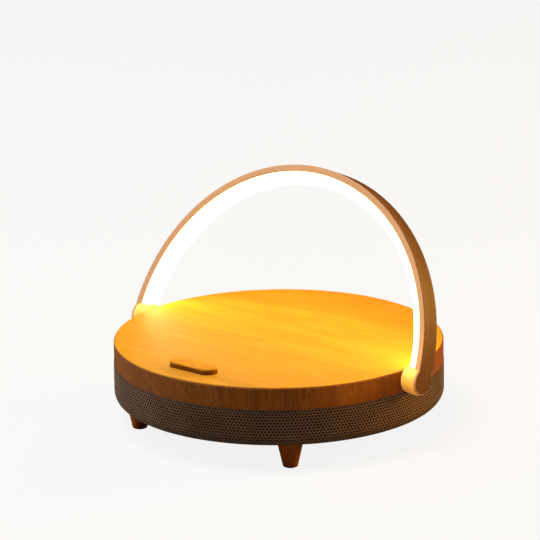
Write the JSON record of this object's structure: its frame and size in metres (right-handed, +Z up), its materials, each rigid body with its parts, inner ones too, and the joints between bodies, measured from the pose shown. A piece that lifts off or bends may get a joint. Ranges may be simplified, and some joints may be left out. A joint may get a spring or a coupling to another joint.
{
  "type": "wireless charging pad with arch lamp",
  "caption": "Round wood-look charging pad over a perforated speaker band, on turned legs, with a folding lit arch hinged at both sides and a rocking key at the front.",
  "frame": {"origin": "centre of the feet's circle on the floor", "axes": "+Z up, the arch's hinge along X, the key towards -Y, the power inlet towards +Y"},
  "size_m": [0.202, 0.1818, 0.1375],
  "materials": {
    "black_plastic": "moulded, fine texture",
    "black_steel": "black coat",
    "board": "solder mask",
    "brass": "turned",
    "brown_plastic": "moulded, fine texture",
    "cloth": "black acoustic cloth",
    "copper": "enamelled wire",
    "diffuser": "opal, lit",
    "ferrite": "sintered",
    "grille": "perforated sheet, brown paint",
    "led": "phosphor",
    "leg_wood": "turned and oiled",
    "mark": "inlaid mark",
    "paper": "pressed paper",
    "rubber": "matt",
    "steel": "plated",
    "wire": "insulated wire",
    "wood": "satin wood grain",
    "wood_dark": "satin walnut grain",
    "wood_light": "satin wood grain"
  },
  "bodies": {
    "base": {"acoustic_cloth": "cloth", "board_components": "black_plastic", "board_screws": "steel", "bottom_cover": "brown_plastic", "bushing_left": "brass", "bushing_right": "brass", "cap_screws": "steel", "charging_coil": "copper", "coil_ferrite": "ferrite", "coil_lead": "wire", "coil_tray": "black_plastic", "cover_screws": "steel", "dust_cap": "paper", "foot_pads": "rubber", "grille_sleeve": "grille", "hinge_bracket_left": "steel", "hinge_bracket_right": "steel", "inner_frame": "black_plastic", "key_board": "board", "key_board_screws": "steel", "key_lead": "wire", "key_switches": "steel", "lamp_lead": "wire", "leg_front_left": "leg_wood", "leg_front_right": "leg_wood", "leg_rear_left": "leg_wood", "leg_rear_right": "leg_wood", "leg_screws": "steel", "magnet_ring": "ferrite", "magnet_yoke": "steel", "main_board": "board", "plate_screws": "steel", "port_bezel": "black_plastic", "port_board": "board", "port_lead": "wire", "speaker_cone": "paper", "speaker_frame": "black_steel", "speaker_screws": "steel", "speaker_surround": "rubber", "top_cap": "wood", "usb_socket": "steel", "voice_coil": "copper"},
    "arch": {"hub_left": "wood_light", "hub_right": "wood_light", "axle_left": "steel", "axle_right": "steel", "friction_washer_left": "steel", "friction_washer_right": "steel", "axle_nut_left": "steel", "axle_nut_right": "steel", "arch_lead": "wire", "arch_shell": "wood_dark", "arch_diffuser": "diffuser", "led_strip": "board", "led_chips": "led"},
    "key_carrier": {"key_carrier": "black_plastic"},
    "key": {"control_key": "wood", "key_marks": "mark", "key_pin": "steel"}
  },
  "joints": [
    {"name": "arch_hinge", "type": "hinge", "parent": "base", "child": "arch", "pos_m": [0, 0, 0.0429], "axis": [1, 0, 0], "range_deg": [-66, 114]},
    {"name": "key_press", "type": "slide", "parent": "base", "child": "key_carrier", "axis": [0, 0, 1], "range_m": [-0.0005, 0], "stiffness_N_per_m": 1200, "springref_m": 0.0004},
    {"name": "key_rock", "type": "hinge", "parent": "key_carrier", "child": "key", "pos_m": [0, -0.072, 0.0434], "axis": [0, 1, 0], "range_deg": [-2, 2], "stiffness_Nm_per_rad": 0.4}
  ]
}
